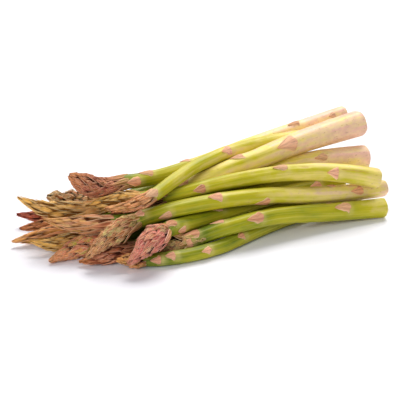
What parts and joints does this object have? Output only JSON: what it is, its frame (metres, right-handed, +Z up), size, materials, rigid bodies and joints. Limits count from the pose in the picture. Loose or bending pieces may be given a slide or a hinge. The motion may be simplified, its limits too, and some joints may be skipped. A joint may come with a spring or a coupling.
{
  "type": "bundle of asparagus",
  "caption": "Loose bundle of fresh asparagus spears lying on its side in a heap, with scaly pointed tips at one end and cut butts at the other.",
  "frame": {"origin": "on the surface that the bundle lies on, under the middle of its bounding box", "axes": "+Z up; the spears lie along X, with their cut butts at +X and their tips at -X; the near, lowest side of the heap is at -Y"},
  "size_m": [0.2936, 0.1384, 0.0661],
  "materials": {
    "stem_green": "waxy, semi-matt fresh stem, olive green",
    "stem_lime": "waxy, semi-matt fresh stem, yellow-green",
    "stem_pale": "waxy, semi-matt fresh stem, cream fading to pale pink at the butt",
    "head_rose": "papery overlapping scales, rose pink",
    "head_russet": "papery overlapping scales, russet brown",
    "head_olive": "papery overlapping scales, straw and olive"
  },
  "bodies": {
    "root": {"spear_01_stem": "stem_green", "spear_01_head": "head_russet", "spear_02_stem": "stem_green", "spear_02_head": "head_rose", "spear_03_stem": "stem_green", "spear_03_head": "head_rose", "spear_04_stem": "stem_green", "spear_04_head": "head_olive", "spear_05_stem": "stem_lime", "spear_05_head": "head_russet", "spear_06_stem": "stem_pale", "spear_06_head": "head_russet", "spear_07_stem": "stem_pale", "spear_07_head": "head_olive", "spear_08_stem": "stem_lime", "spear_08_head": "head_rose", "spear_09_stem": "stem_lime", "spear_09_head": "head_russet", "spear_10_stem": "stem_green", "spear_10_head": "head_russet", "spear_11_stem": "stem_green", "spear_11_head": "head_rose", "spear_12_stem": "stem_green", "spear_12_head": "head_olive", "spear_13_stem": "stem_green", "spear_13_head": "head_russet", "spear_14_stem": "stem_green", "spear_14_head": "head_rose", "spear_15_stem": "stem_green", "spear_15_head": "head_russet", "spear_16_stem": "stem_green", "spear_16_head": "head_rose", "spear_17_stem": "stem_green", "spear_17_head": "head_olive", "spear_18_stem": "stem_lime", "spear_18_head": "head_olive"}
  },
  "joints": []
}
